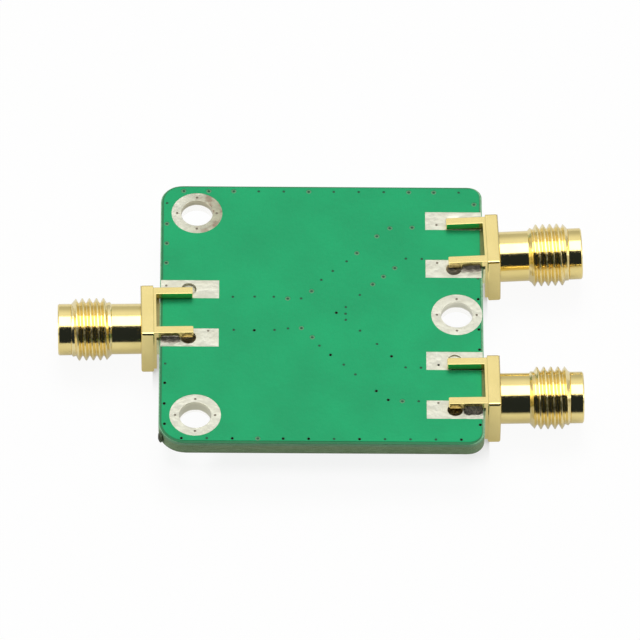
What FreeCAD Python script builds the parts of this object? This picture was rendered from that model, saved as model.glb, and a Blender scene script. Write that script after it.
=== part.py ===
import FreeCAD, Part
import math
import os

# One-to-two resistive power splitter on a square printed board with three threaded coaxial jacks.
# Board frame: x to the right, y to the back, z up, zero on the laminate's upper (ground) face at
# the middle of the board. The trace face with the resistors looks down. Millimetres throughout.
# The ground copper of both faces lies wholly under the mask and counts in the mask's thickness.

# board
board_width = 32.5
board_depth = 32.6
board_thickness = 1.53
corner_r_rear_left = 2.1
corner_r_rear_right = 1.35
corner_r_front_left = 2.7
corner_r_front_right = 1.6
copper_thickness = 0.035
tin_thickness = 0.02
mask_thickness = 0.03
mask_pullback = 0.1
mask_shift_x = -0.1

# signal lines on the trace face
port_pitch = 17.8
trace_width = 1.8
fork_x = -1.41
line_end_inset = 0.3
chip_distance = 2.3
chip_gap = 0.7

# mounting holes, placed from the board's edges
mount_hole_d = 3.2
mount_land_d = 5.14
mount_left_inset = 3.65
mount_side_inset = 3.5
mount_right_inset = 2.65

# pads and holes under the jack legs
pad_width = 2.28
pad_pitch = 6.12
pad_length_left = 5.95
pad_length_right = 5.75
pad_edge_inset = 0.1
leg_hole_d = 1.55
leg_hole_from_edge = 2.9
plating_thickness = 0.05
pin_pad_length = 2.9

# jack body: lengths run outward from the back of its web, and the thread is a plain cylinder as
# wide as its crests, between a short plain run at either end
web_thickness = 0.29
web_inset = 0.29
web_step = 0.12
flange_size = 6.35
flange_thickness = 1.27
rear_barrel_d = 5.08
rear_barrel_length = 2.94
thread_d = 6.28
thread_length = 4.1
thread_end_run = 0.6
collar_d = 5.18
collar_length = 1.31
mouth_chamfer = 0.12
mouth_d = 4.62
mouth_depth = 1.92
bore_d = 4.1
leg_width = 0.84
leg_inner_gap = 4.09
leg_length = 3.68
leg_height = 0.92
slot_height = 1.86

# centre contact
socket_d = 1.27
socket_bore_d = 0.94
socket_bore_depth = 2.2
socket_recess = 0.06
pin_d = 0.9
pin_length = 2.3
pin_gap = 0.05

# chip resistors
chip_length = 1.6
chip_width = 0.8
chip_height = 0.45
cap_length = 0.3
cap_thickness = 0.03
coat_thickness = 0.02
chip_pad_length = 0.8
chip_pad_margin = 0.15

# solder
joint_spread = 0.42
joint_height = 0.4
joint_inset = 0.25
pin_joint_spread = 0.38
pin_joint_inset = 0.1
fillet_length = 0.32
fillet_height = 0.34

# How each jack sits as soldered by hand: side it points to, distance along the edge from the
# board's middle, gap to the edge, slide along the edge, rise, turn seen from above and lift of the
# outer end.
seats = {
    "input": {"side": -1, "along": 0.0, "gap": 0.32, "slide": -0.32, "rise": 0.0,
              "turn": 1.25, "lift": 0.0},
    "rear": {"side": 1, "along": port_pitch / 2, "gap": 0.185, "slide": 0.05, "rise": 0.03,
             "turn": 2.5, "lift": 1.3},
    "front": {"side": 1, "along": -port_pitch / 2, "gap": 0.08, "slide": -0.04, "rise": 0.0,
              "turn": 1.2, "lift": 0.3},
}

# derived heights and edges
half_w = board_width / 2
half_d = board_depth / 2
top = 0.0
bottom = -board_thickness
copper_top = top + copper_thickness
copper_bottom = bottom - copper_thickness
pad_top = copper_top + tin_thickness
pad_bottom = copper_bottom - tin_thickness
mask_top = copper_top + mask_thickness
mask_bottom = copper_bottom - mask_thickness
slot_middle = (top + bottom) / 2
drill_low = bottom - board_thickness
drill_high = top + board_thickness
axis_z = pad_bottom - pin_gap - pin_d / 2
flange_front = web_thickness + flange_thickness
thread_start = flange_front + rear_barrel_length
collar_start = thread_start + thread_length
jack_length = collar_start + collar_length
contact_plane = jack_length - mouth_depth
mount_r = mount_hole_d / 2
leg_hole_r = leg_hole_d / 2
mount_left_x = mount_left_inset - half_w
mount_right_x = half_w - mount_right_inset
mount_side_y = half_d - mount_side_inset
# the board's corners, each rounded a little differently: side in x, side in y, radius
board_corners = [(-1, 1, corner_r_rear_left), (1, 1, corner_r_rear_right),
                 (-1, -1, corner_r_front_left), (1, -1, corner_r_front_right)]


def box(x0, x1, y0, y1, z0, z1):
    corner = FreeCAD.Vector(min(x0, x1), min(y0, y1), min(z0, z1))
    return Part.makeBox(abs(x1 - x0), abs(y1 - y0), abs(z1 - z0), corner)


def upright(x, y, z0, z1, r):
    foot = FreeCAD.Vector(x, y, min(z0, z1))
    return Part.makeCylinder(r, abs(z1 - z0), foot)


def outline_plate(x0, x1, y0, y1, pullback, z0, z1):
    # the board's outline drawn in by the pullback
    plate = box(x0, x1, y0, y1, z0, z1)
    for side_x, side_y, r in board_corners:
        spot = FreeCAD.Vector(x0 if side_x < 0 else x1, y0 if side_y < 0 else y1, z0)
        edges = [e for e in plate.Edges if abs(e.tangentAt(e.FirstParameter).z) > 0.99
                 and min(v.Point.distanceToPoint(spot) for v in e.Vertexes) < mask_thickness]
        plate = plate.makeFillet(r - pullback, edges)
    return plate


def mask_plate(z0, z1):
    x0 = -half_w + mask_pullback + mask_shift_x
    x1 = half_w - mask_pullback + mask_shift_x
    y = half_d - mask_pullback
    return outline_plate(x0, x1, -y, y, mask_pullback, z0, z1)


def side_points(path, offset):
    # corners of a line running beside the path, mitred where the path bends
    points = []
    for i, (x, y) in enumerate(path):
        steps = []
        if i > 0:
            steps.append((x - path[i - 1][0], y - path[i - 1][1]))
        if i < len(path) - 1:
            steps.append((path[i + 1][0] - x, path[i + 1][1] - y))
        normals = []
        for dx, dy in steps:
            length = math.hypot(dx, dy)
            normals.append((-dy / length, dx / length))
        nx = sum(n[0] for n in normals) / len(normals)
        ny = sum(n[1] for n in normals) / len(normals)
        size = nx * nx + ny * ny
        points.append((x + offset * nx / size, y + offset * ny / size))
    return points


def band(path, width, z0, z1):
    ring = side_points(path, width / 2) + side_points(path, -width / 2)[::-1]
    ring.append(ring[0])
    wire = Part.makePolygon([FreeCAD.Vector(x, y, min(z0, z1)) for x, y in ring])
    return Part.Face(wire).extrude(FreeCAD.Vector(0, 0, abs(z1 - z0)))


def joined(shapes):
    whole = shapes[0]
    for shape in shapes[1:]:
        whole = whole.fuse(shape)
    return whole.removeSplitter()


def without(shape, tools):
    for tool in tools:
        shape = shape.cut(tool)
    return shape


def along_path(path, distance):
    # the point a distance along the path and the direction there
    for (xa, ya), (xb, yb) in zip(path, path[1:]):
        length = math.hypot(xb - xa, yb - ya)
        dx = (xb - xa) / length
        dy = (yb - ya) / length
        if distance <= length:
            return (xa + dx * distance, ya + dy * distance), (dx, dy)
        distance -= length
    return (xb, yb), (dx, dy)


def path_between(path, start, end):
    points = [along_path(path, start)[0]]
    travelled = 0.0
    for (xa, ya), (xb, yb) in zip(path, path[1:]):
        travelled += math.hypot(xb - xa, yb - ya)
        if start < travelled < end:
            points.append((xb, yb))
    points.append(along_path(path, end)[0])
    return points


def path_length(path):
    return sum(math.hypot(b[0] - a[0], b[1] - a[1]) for a, b in zip(path, path[1:]))


# the three arms of the star, each from the fork outward
knee_x = fork_x + port_pitch / 2
arms = {
    "input": [(fork_x, 0.0), (-half_w + line_end_inset, 0.0)],
    "rear": [(fork_x, 0.0), (knee_x, port_pitch / 2), (half_w - line_end_inset, port_pitch / 2)],
    "front": [(fork_x, 0.0), (knee_x, -port_pitch / 2), (half_w - line_end_inset, -port_pitch / 2)],
}
mount_places = {
    "rear_left": (mount_left_x, mount_side_y),
    "front_left": (mount_left_x, -mount_side_y),
    "right": (mount_right_x, 0.0),
}


def pad_rectangle(seat, row):
    # corners of one leg pad: from the board's edge inward, centred on its row
    length = pad_length_left if seat["side"] < 0 else pad_length_right
    x0 = seat["side"] * (half_w - pad_edge_inset)
    x1 = seat["side"] * (half_w - length)
    y = seat["along"] + row * pad_pitch / 2
    return x0, x1, y - pad_width / 2, y + pad_width / 2


def leg_hole_place(seat, row):
    return seat["side"] * (half_w - leg_hole_from_edge), seat["along"] + row * pad_pitch / 2


def pin_rectangle(seat, run_out=0.0):
    # corners of the tinned end of a signal line, run out past the board's edge if asked
    x0 = seat["side"] * (half_w - line_end_inset + run_out)
    x1 = seat["side"] * (half_w - line_end_inset - pin_pad_length)
    half = trace_width / 2
    return x0, x1, seat["along"] - half, seat["along"] + half


all_rows = [(seat, row) for seat in seats.values() for row in (-1, 1)]


def land_cutters(z0, z1):
    tools = [upright(x, y, z0, z1, mount_land_d / 2) for x, y in mount_places.values()]
    tools += [box(*pad_rectangle(seat, row), z0, z1) for seat, row in all_rows]
    return tools


def make_laminate():
    blank = outline_plate(-half_w, half_w, -half_d, half_d, 0.0, bottom, top)
    tools = [upright(x, y, drill_low, drill_high, mount_r + plating_thickness)
             for x, y in mount_places.values()]
    tools += [upright(*leg_hole_place(seat, row), drill_low, drill_high,
                      leg_hole_r + plating_thickness) for seat, row in all_rows]
    return without(blank, tools)


def make_line(name):
    path = arms[name]
    start = chip_distance + chip_gap / 2
    return band(path_between(path, start, path_length(path)), trace_width, copper_bottom, bottom)


def make_star():
    reach = chip_distance - chip_gap / 2
    stubs = [band(path_between(p, 0.0, reach), trace_width, copper_bottom, bottom)
             for p in arms.values()]
    return joined(stubs)


def chip_placement(path):
    (x, y), (dx, dy) = along_path(path, chip_distance)
    turn = FreeCAD.Rotation(FreeCAD.Vector(0, 0, 1), math.degrees(math.atan2(dy, dx)))
    return FreeCAD.Placement(FreeCAD.Vector(x, y, copper_bottom), turn)


def moved(shape, placement):
    shape = shape.copy()
    shape.Placement = placement.multiply(shape.Placement)
    return shape


def chip_shapes():
    # one resistor lying along x, its pads touching z = 0 and its body hanging below
    half = chip_length / 2
    w = chip_width / 2
    core = box(-half + cap_thickness, half - cap_thickness, -w, w, -chip_height, -cap_thickness)
    coat = box(-half + cap_length, half - cap_length, -w, w,
               -chip_height - coat_thickness, -chip_height)
    caps = []
    fillets = []
    for side in (-1, 1):
        outer = box(side * (half - cap_length), side * half, -w, w,
                    -chip_height - cap_thickness, 0.0)
        caps.append(outer.cut(core))
        foot = FreeCAD.Vector(side * half, -w, 0)
        toe = FreeCAD.Vector(side * (half + fillet_length), -w, 0)
        crest = FreeCAD.Vector(side * half, -w, -fillet_height)
        face = Part.Face(Part.makePolygon([foot, toe, crest, foot]))
        fillets.append(face.extrude(FreeCAD.Vector(0, chip_width, 0)))
    return core, coat, caps, fillets


def chip_openings(z0, z1):
    tools = []
    w = chip_width / 2 + chip_pad_margin
    for path in arms.values():
        for side in (-1, 1):
            inner = side * chip_gap / 2
            pad = box(inner, inner + side * chip_pad_length, -w, w, z0, z1)
            tools.append(moved(pad, chip_placement(path)))
    return tools


def make_ground_mask():
    return without(mask_plate(top, mask_top), land_cutters(top, mask_top))


def make_trace_mask(copper):
    coat = mask_plate(mask_bottom, bottom)
    run_out = line_end_inset + mask_pullback - mask_shift_x
    tools = land_cutters(mask_bottom, bottom)
    tools += [box(*pin_rectangle(seat, run_out), mask_bottom, bottom) for seat in seats.values()]
    tools += chip_openings(mask_bottom - copper_bottom, bottom - copper_bottom)
    return without(coat, tools + copper)


def make_mount_plating(place):
    x, y = place
    sleeve = upright(x, y, bottom, top, mount_r + plating_thickness)
    lands = [upright(x, y, top, pad_top, mount_land_d / 2),
             upright(x, y, bottom, pad_bottom, mount_land_d / 2)]
    return joined([sleeve] + lands).cut(upright(x, y, drill_low, drill_high, mount_r))


def make_leg_plating(seat, row):
    x, y = leg_hole_place(seat, row)
    sleeve = upright(x, y, bottom, top, leg_hole_r + plating_thickness)
    lands = [box(*pad_rectangle(seat, row), top, pad_top),
             box(*pad_rectangle(seat, row), bottom, pad_bottom)]
    return joined([sleeve] + lands).cut(upright(x, y, drill_low, drill_high, leg_hole_r))


def make_pin_tin(seat):
    return box(*pin_rectangle(seat), copper_bottom, pad_bottom)


def jack_placement(seat):
    # jack frame: x outward along the barrel, origin on its axis at the back of the web
    facing = 0.0 if seat["side"] > 0 else 180.0
    turn = FreeCAD.Rotation(FreeCAD.Vector(0, 0, 1), facing + seat["turn"])
    lift = FreeCAD.Rotation(FreeCAD.Vector(0, 1, 0), -seat["lift"])
    origin = FreeCAD.Vector(seat["side"] * (half_w + seat["gap"]), seat["along"] + seat["slide"],
                            axis_z + seat["rise"])
    return FreeCAD.Placement(origin, turn.multiply(lift))


def revolved(points):
    ring = [FreeCAD.Vector(x, 0, r) for x, r in points]
    face = Part.Face(Part.makePolygon(ring + [ring[0]]))
    return face.revolve(FreeCAD.Vector(0, 0, 0), FreeCAD.Vector(1, 0, 0), 360)


def barrel_profile():
    # half section of the solid barrel as (distance along the axis, radius), from inside the flange
    r = rear_barrel_d / 2
    collar = collar_d / 2
    crest = thread_d / 2
    root = flange_front - flange_thickness / 2
    crests_start = thread_start + thread_end_run
    crests_end = collar_start - thread_end_run
    return [(root, 0.0), (root, r), (crests_start, r), (crests_start, crest),
            (crests_end, crest), (crests_end, collar), (jack_length - mouth_chamfer, collar),
            (jack_length, collar - mouth_chamfer), (jack_length, 0.0)]


def make_jack_body():
    half = flange_size / 2
    web = half - web_inset
    flange = box(web_thickness, flange_front, -half, half, -half, half)
    leg_top = half - web_step
    pieces = [flange, box(0.0, web_thickness, -web, web, -web, leg_top)]
    slot_low = slot_middle - slot_height / 2 - axis_z
    slot_high = slot_middle + slot_height / 2 - axis_z
    for side in (-1, 1):
        y0 = side * leg_inner_gap / 2
        y1 = y0 + side * leg_width
        for z0, z1 in ((slot_high, leg_top), (slot_low - leg_height, slot_low)):
            pieces.append(box(-leg_length, web_thickness, y0, y1, z0, z1))
    pieces.append(revolved(barrel_profile()))
    past = jack_length + mouth_depth
    bore = revolved([(-web_thickness, 0.0), (-web_thickness, bore_d / 2),
                     (contact_plane, bore_d / 2), (contact_plane, mouth_d / 2),
                     (past, mouth_d / 2), (past, 0.0)])
    return joined(pieces).cut(bore)


def make_insulator():
    solid = Part.makeCylinder(bore_d / 2, contact_plane, FreeCAD.Vector(), FreeCAD.Vector(1, 0, 0))
    hole = Part.makeCylinder(socket_d / 2, contact_plane, FreeCAD.Vector(),
                             FreeCAD.Vector(1, 0, 0))
    return solid.cut(hole)


def make_contact():
    tip = contact_plane - socket_recess
    floor = tip - socket_bore_depth
    return revolved([(-pin_length, 0.0), (-pin_length, pin_d / 2), (0.0, pin_d / 2),
                     (0.0, socket_d / 2), (tip, socket_d / 2), (tip, socket_bore_d / 2),
                     (floor, socket_bore_d / 2), (floor, 0.0)])


def ridge(x0, x1, y0, y1, z0, z1):
    # a solder bead: full width at z0, drawn in along both sides toward z1
    draw = min(abs(y1 - y0) / 3, joint_spread)
    ring = [FreeCAD.Vector(x0, y0, z0), FreeCAD.Vector(x0, y1, z0),
            FreeCAD.Vector(x0, y1 - draw, z1), FreeCAD.Vector(x0, y0 + draw, z1)]
    face = Part.Face(Part.makePolygon(ring + [ring[0]]))
    return face.extrude(FreeCAD.Vector(x1 - x0, 0, 0))


def make_jack_solder(seat, body, contact):
    joints = []
    side = seat["side"]
    middle = seat["along"] + seat["slide"]
    x0 = side * (half_w - joint_inset)
    x1 = side * (half_w - leg_hole_from_edge + leg_hole_r)
    reach = leg_inner_gap / 2 + leg_width / 2
    spread = leg_width / 2 + joint_spread
    for row in (-1, 1):
        y = middle + row * reach
        keep = pad_rectangle(seat, row)
        upper = ridge(x0, x1, y - spread, y + spread, pad_top, pad_top + joint_height)
        lower = ridge(x0, x1, y - spread, y + spread, pad_bottom, pad_bottom - joint_height)
        upper = upper.common(box(*keep, pad_top, pad_top + joint_height))
        lower = lower.common(box(*keep, pad_bottom, pad_bottom - joint_height))
        joints += [upper.cut(body), lower.cut(body)]
    half = pin_d / 2 + pin_joint_spread
    crest = axis_z - pin_d / 6
    pin = ridge(side * (half_w - line_end_inset - pin_joint_inset),
                side * (half_w + seat["gap"] - pin_length - pin_joint_inset),
                middle - half, middle + half, pad_bottom, crest)
    pin = pin.common(box(*pin_rectangle(seat), pad_bottom, crest))
    joints.append(pin.cut(contact))
    return joints


def solids_of(shapes):
    found = []
    for shape in shapes:
        found += [s for s in shape.Solids if s.Volume > 0.0005]
    return found


nodes = {}
nodes["pcb_laminate"] = [make_laminate()]
nodes["input_line"] = [make_line("input")]
nodes["rear_output_line"] = [make_line("rear")]
nodes["front_output_line"] = [make_line("front")]
nodes["star_point_copper"] = [make_star()]
trace_copper = sum([nodes[n] for n in ("input_line", "rear_output_line", "front_output_line",
                                       "star_point_copper")], [])
nodes["ground_face_solder_mask"] = [make_ground_mask()]
nodes["trace_face_solder_mask"] = [make_trace_mask(trace_copper)]
for name, place in mount_places.items():
    nodes["mounting_plating_" + name] = [make_mount_plating(place)]
for name, seat in seats.items():
    nodes[name + "_leg_pads"] = [make_leg_plating(seat, row) for row in (-1, 1)]
nodes["pin_pad_tin"] = [make_pin_tin(seat) for seat in seats.values()]

core, coat, caps, fillets = chip_shapes()
places = [chip_placement(path) for path in arms.values()]
nodes["resistor_cores"] = [moved(core, p) for p in places]
nodes["resistor_overcoats"] = [moved(coat, p) for p in places]
nodes["resistor_end_caps"] = [moved(cap, p) for p in places for cap in caps]
nodes["resistor_solder"] = [moved(f, p) for p in places for f in fillets]

body = make_jack_body()
insulator = make_insulator()
contact = make_contact()
for name, seat in seats.items():
    place = jack_placement(seat)
    placed = [moved(s, place) for s in (body, insulator, contact)]
    nodes[name + "_jack_body"] = [placed[0]]
    nodes[name + "_jack_insulator"] = [placed[1]]
    nodes[name + "_jack_contact"] = [placed[2]]
    nodes[name + "_jack_solder"] = make_jack_solder(seat, placed[0], placed[2])

# everything is shifted so that it rests on z = 0 with its middle over the origin
whole = Part.makeCompound([s for shapes in nodes.values() for s in shapes])
bounds = whole.optimalBoundingBox(False, False)
shift = FreeCAD.Vector(-(bounds.XMin + bounds.XMax) / 2, -(bounds.YMin + bounds.YMax) / 2,
                       -bounds.ZMin)
os.makedirs("parts", exist_ok=True)
for name, shapes in nodes.items():
    solids = solids_of(shapes)
    shape = solids[0] if len(solids) == 1 else Part.makeCompound(solids)
    shape = shape.copy()
    shape.translate(shift)
    shape.exportStep("parts/" + name + ".step")
    print(name, "solids", len(solids), "valid", shape.isValid())
print("shift", shift)
for name, seat in seats.items():
    place = jack_placement(seat)
    print(name, "jack origin", place.Base + shift, "axis", place.Rotation.multVec(
        FreeCAD.Vector(1, 0, 0)))
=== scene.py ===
import random
from math import copysign, cos, hypot, pi, radians, sin, sqrt, tan

import bmesh
import bpy
from mathutils import Matrix, Vector
from mathutils.geometry import delaunay_2d_cdt


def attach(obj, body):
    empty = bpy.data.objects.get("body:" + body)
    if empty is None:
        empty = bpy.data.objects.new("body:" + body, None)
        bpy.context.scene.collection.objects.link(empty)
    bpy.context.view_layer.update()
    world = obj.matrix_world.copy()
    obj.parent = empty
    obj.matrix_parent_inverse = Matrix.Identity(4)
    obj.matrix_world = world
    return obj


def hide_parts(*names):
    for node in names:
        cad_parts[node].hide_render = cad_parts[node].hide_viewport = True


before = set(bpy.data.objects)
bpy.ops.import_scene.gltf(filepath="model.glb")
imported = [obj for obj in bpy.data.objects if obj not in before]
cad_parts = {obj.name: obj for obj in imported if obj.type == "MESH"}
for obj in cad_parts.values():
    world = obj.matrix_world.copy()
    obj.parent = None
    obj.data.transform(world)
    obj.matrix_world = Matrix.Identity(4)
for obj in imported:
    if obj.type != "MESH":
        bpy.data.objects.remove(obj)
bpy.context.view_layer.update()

# Looks of the rf power splitter around its CAD frame. Shapes are drawn in millimetres in the board
# frame (zero on the laminate's ground face, at the middle of the board) or in a jack's own frame,
# and are set into the shared frame by their matrix.

MM = 0.001
# from the board frame to the shared one (mm)
SHIFT = Vector((0.03854385, 0.0, 5.26))
BOARD = Matrix.Translation(SHIFT * MM) @ Matrix.Scale(MM, 4)
TAU = 2 * pi
FLAT_EPSILON = 1e-5
WELD_REACH = 1e-4
NEAR = 0.01
SHARP = radians(40)
dice = random.Random(7)

# board; its corner radii go from the right back corner on by the left
HALF_W = 16.25
HALF_D = 16.3
BOTTOM = -1.53
CORNERS = (1.35, 2.1, 2.7, 1.6)
# how far mask and copper reach: left, right, front, back
MASK_EDGES = (-16.14, 16.05, 0.01 - HALF_D, HALF_D - 0.01)
COPPER_EDGES = (-15.95, 15.98, -15.97, 16.14)
COPPER_CORNER_EASE = 0.3
FOIL = 0.035
TIN = 0.02
MASK = 0.03
PAD_TOP = FOIL + TIN
MASK_TOP = FOIL + MASK
PLATING = 0.05
HOLE_EASE = 0.02
MOUNT_R = 1.6
MOUNT_SIDES = 72
LAND_R = 2.57
LEG_HOLE_R = 0.775
LEG_HOLE_X = 13.35
LEG_HOLE_SIDES = 40
MOUNTS = {"rear_left": (-12.60, 12.80), "front_left": (-12.60, -12.80), "right": (13.60, 0.0)}
PORT_Y = 8.9
PORTS = {"input": (-1, 0.0), "rear": (1, PORT_Y), "front": (1, -PORT_Y)}
# leg pads: off the jack's axis, inward from the board's edge by side, and half their width
PAD_OFF = 3.06
PAD_INSET = 0.1
PAD_REACH = {-1: 5.95, 1: 5.75}
PAD_HALF_W = 1.14
# signal lines, how far they and their openings are drawn past their tinned ends, those ends, and
# the pads of the chips near the fork
FORK_X = -1.41
KNEE_X = FORK_X + PORT_Y
TRACE_HALF_W = 0.9
TRACE_GAP = 0.45
LINE_PAST = 0.5
OPENING_PAST = 0.6
PIN_END_X = HALF_W - 0.3
PIN_PAD_L = 2.9
CHIP_AT = 2.3
CHIP_GAP = 0.7
CHIP_PAD_L = 0.8
CHIP_PAD_HALF_W = 0.55
# the ragged lump left where the front left corner was cut free, then the middle and rim of
# the painted shade on that corner's left face, which is turned away from the light
BURR_AT = (-16.01, -14.78, -0.88)
BURR_REACH = (0.28, 0.64, 0.58)
CORNER_SHADE_AT = (-16.3, -14.9, -0.9)
CORNER_SHADE_FADE = (0.80, 0.50)
# stitching holes: rows, off the screw holes, plated barrels, rings where the mask is open, plugs
STITCH_X = -13.95
STITCH_STEP = 2.534
STITCH_OFF = 2.0
STITCH_R = 0.15
STITCH_SIDES = 16
STITCH_BORE_R = 0.115
RING_IN = 0.135
RING_OUT = 0.255
RING_T = 0.01
TIN_HOLE_R = 0.13
PLUG_T = 0.02
PLUG_EASE = 0.001
MASK_PLUG_Z = 0.012
TIN_PLUG_SINK = 0.035

# jack, along its axis from the back of the web
WEB_T = 0.29
FLANGE_HALF = 3.175
FLANGE_FRONT = 1.56
FLANGE_R = 0.28
FLANGE_EDGE = 0.2
OTHER_EDGES = 0.2
# where the flange's back rim is rounded: this far out of the web and below this height
RIM_OUT = 0.08
RIM_TOP = 2.8
WEB_HALF = FLANGE_HALF - 0.29
LEG_TOP = FLANGE_HALF - 0.12
BARREL_R = 2.54
COLLAR_R = 2.59
CREST_R = 3.14
PITCH = 0.7056
CREST_TIP = 0.09
THREAD_DEPTH = 0.46
SLOPE = tan(radians(60))
# a crest's round tip ends this far from its middle and below its top
TIP_HALF = 0.866 * CREST_TIP
TIP_DROP = 0.5 * CREST_TIP
FLANK = TIP_HALF + (THREAD_DEPTH - TIP_DROP) / SLOPE
THREAD_START = 4.5
COLLAR_START = 8.6
END_RUN = 0.55
BARREL_SIDES = 144
JACK_L = 9.91
MOUTH_R = 2.31
MOUTH_CHAMFER = 0.12
CONTACT_PLANE = JACK_L - 1.92
MOUTH_EASE = 0.05
BORE_R = 2.05
BORE_SIDES = 72
LEG_IN = 2.045
LEG_OUT = 2.885
LEG_MIDDLE = (LEG_IN + LEG_OUT) / 2
LEG_HALF_W = 0.42
LEG_L = 3.68
LEG_NOSE = 0.13
SLOT_HIGH = 2.25
SLOT_LOW = 0.39
LEG_LOW = -0.53
SOCKET_R = 0.635
SOCKET_BORE_R = 0.47
SOCKET_DEPTH = 2.2
SOCKET_SIDES = 48
FINGER_L = 1.7
PIN_R = 0.45
PIN_L = 2.3

# where each jack sits (mm, board frame), its turn about z and the lift of its outer end (degrees),
# and how far from its collar the first crest shows on the side turned to the back (mm)
SEATS = {
    "input": ((-16.57, -0.32, -2.085), 181.25, 0.0, 0.46),
    "rear": ((16.435, 8.95, -2.055), 2.5, 1.3, 0.395),
    "front": ((16.33, -8.94, -2.085), 1.2, 0.3, 0.505),
}
# the side of a jack turned to the back, by the board's side, as an angle round its own axis
AWAY = {1: 37.6, -1: 142.4}

# solder beads: reach and height on the ground face by port and row (the near row is -1), on the
# trace face and round the pin, then the shape they share
UPPER = {("input", -1): (0.62, 0.40), ("input", 1): (0.14, 0.16), ("rear", -1): (0.66, 0.42),
         ("rear", 1): (0.13, 0.18), ("front", -1): (0.86, 0.48), ("front", 1): (0.13, 0.18)}
LOWER = (0.42, 0.38)
PIN_BEAD = (0.72, 0.72)
PIN_HALF_W = 0.05
BEAD_STEPS = (56, 30)
BEAD_HOLLOW = 1.3
BEAD_END = 0.15
BEAD_SINK = 0.006
BEAD_INSET = 0.02
# shade-painted films and solder pools in the gaps: over the board's edge, below the jack's axis,
# past the web
FILM_IN = 0.03
FILM_LOW = 0.30
POOL_PAST = 0.02
POOL_HIGH = 0.31

# studio: the dark room in front; in metres, where the table ends toward it, where the open floor
# begins beside the board, and how near a wall darkens the floor
DARK_ROOM = (0.018, 0.024, 0.037)
TABLE_END = (-0.026, -0.018)
ASIDE_X = 0.0169
SHADE_REACH = 0.004
GAP_WHITE = 0.42
OPEN_WHITE = 0.94
# patches of floor seen through the screw holes, and pools of light painted on the floor under
# the holes for their walls to mirror: how far behind the hole's middle, and their reach (mm)
SEEN_PATCH = (3.4, 2.8)
LIGHT_POOL_PATCH = (0.65, 3.8)
PATCH_SOFT = 0.3
PATCH_WHITE = 0.97
# the tent round the part, from the floor in front over the top to the floor behind: place, level
TENT = [(0.0, 0.75), (0.25, 0.70), (0.44, 0.62), (0.462, 0.012), (0.680, 0.012), (0.692, 1.60),
        (0.80, 1.60), (0.822, 0.96), (0.868, 0.92), (0.91, 0.72), (0.935, 0.58), (1.0, 0.52)]
TENT_DARK = 0.1
TENT_BOX = 1.2
BOX_SHINE = 2.9
OPENING_SIDES = (0.86, 0.93)
SIDE_WALLS = 0.8
SOFT_LIGHT = 0.52
SUN_ENERGY = 1.85
SUN_WIDTH = 32
SUN_ELEVATION = 57
# the camera found from the photo: degrees, then millimetres
CAM_ELEVATION = 52.40
CAM_YAW = -0.77
CAM_ROLL = 0.947
CAM_SHIFT = (0.146, 0.608)
CAM_DISTANCE = 1000.0
CAM_F_PIXELS = 9953.0
PHOTO_PIXELS = 640
SENSOR = 36.0
PHOTO_ORIGIN = (0.0385, 0.0, 5.325)


# ---- node graphs ----

def add(tree, kind, feeds=None, **props):
    # a shader node with its properties set and its inputs linked or given
    n = tree.nodes.new("ShaderNode" + kind)
    for key, value in props.items():
        setattr(n, key, value)
    for key, value in (feeds or {}).items():
        if isinstance(value, bpy.types.NodeSocket):
            tree.links.new(value, n.inputs[key])
        else:
            n.inputs[key].default_value = value
    return n


def calc(tree, op, a, b=0.0):
    return add(tree, "Math", {0: a, 1: b}, operation=op).outputs[0]


def spread(tree, value, lo, hi, out_lo=0.0, out_hi=1.0):
    # stretches one range of a value onto another, and holds it there
    n = add(tree, "MapRange", {"Value": value, "From Min": lo, "From Max": hi,
                               "To Min": out_lo, "To Max": out_hi})
    return n.outputs["Result"]


def axis_of(tree, place, axis):
    return add(tree, "SeparateXYZ", {0: place}).outputs[axis]


def distance(tree, place, point):
    n = add(tree, "VectorMath", {0: place, 1: point}, operation="DISTANCE")
    return n.outputs["Value"]


def blend(tree, factor, a, b):
    n = add(tree, "Mix", data_type="RGBA", clamp_factor=True)
    for socket, value in ((n.inputs[0], factor), (n.inputs[6], a), (n.inputs[7], b)):
        if isinstance(value, bpy.types.NodeSocket):
            tree.links.new(value, socket)
        elif isinstance(value, (int, float)):
            socket.default_value = value
        else:
            socket.default_value = (*value, 1.0)
    return n.outputs[2]


def noise(tree, place, scale, detail=3.0, stretch=(1.0, 1.0, 1.0)):
    place = add(tree, "Mapping", {"Vector": place, "Scale": stretch}).outputs[0]
    n = add(tree, "TexNoise", {"Vector": place, "Scale": scale, "Detail": detail})
    return n.outputs["Fac"]


def blank_tree(owner):
    # the node tree of a material or a world, emptied
    owner.use_nodes = True
    owner.node_tree.nodes.clear()
    return owner.node_tree


def material(name, colour, roughness, metallic=0.0, **extra):
    # a principled material and what its builder needs to vary it
    mat = bpy.data.materials.new(name)
    tree = blank_tree(mat)
    shader = add(tree, "BsdfPrincipled",
                 {"Base Color": (*colour, 1.0), "Roughness": roughness, "Metallic": metallic})
    for key, value in extra.items():
        shader.inputs[key.replace("_", " ")].default_value = value
    add(tree, "OutputMaterial", {"Surface": shader.outputs[0]})
    place = add(tree, "TexCoord").outputs["Object"]
    return mat, tree, shader, place


def feed(tree, shader, key, socket):
    tree.links.new(socket, shader.inputs[key])


def bump(tree, shader, height, strength, depth):
    n = add(tree, "Bump", {"Height": height, "Strength": strength, "Distance": depth})
    feed(tree, shader, "Normal", n.outputs[0])


def wire(tree, shader, tint, cloud, dull, height, strength, depth, lo=0.3, hi=0.7):
    # links what varies over a surface: colour, roughness as a cloud goes, and a small relief
    feed(tree, shader, "Base Color", tint)
    feed(tree, shader, "Roughness", spread(tree, cloud, lo, hi, *dull))
    bump(tree, shader, height, strength, depth)


def shade(colour, share):
    return tuple(min(share * c, 1.0) for c in colour)


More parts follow.
